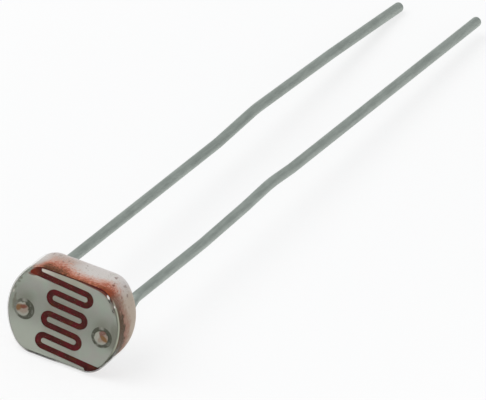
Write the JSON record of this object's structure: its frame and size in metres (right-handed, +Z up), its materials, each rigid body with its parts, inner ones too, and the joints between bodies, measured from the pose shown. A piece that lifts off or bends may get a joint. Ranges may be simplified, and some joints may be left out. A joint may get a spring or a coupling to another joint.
{
  "type": "photoresistor",
  "caption": "Light-dependent resistor: a flatted ceramic disc whose face has a winding dark track between comb electrodes under clear resin, with long thin wire leads.",
  "frame": {"origin": "on the table, under the middle of the part's box as it lies", "axes": "+Z up from the table, +Y from the sensing face along the leads, +X from the left lead to the right lead seen from the face"},
  "size_m": [0.0048, 0.037, 0.0039],
  "materials": {
    "ceramic": "matte, fired white with orange-red overspray near the face",
    "film": "matte dark red sintered film",
    "electrode": "satin vapour-deposited metal",
    "tinned_wire": "drawn wire, dull tin plating",
    "contact_paste": "dark conductive paste",
    "clear_resin": "clear glossy resin"
  },
  "bodies": {
    "root": {"ceramic_base": "ceramic", "photoconductive_film": "film", "electrode_left": "electrode", "electrode_right": "electrode", "lead_left": "tinned_wire", "lead_right": "tinned_wire", "contact_left": "contact_paste", "contact_right": "contact_paste", "clear_coat": "clear_resin"}
  },
  "joints": []
}
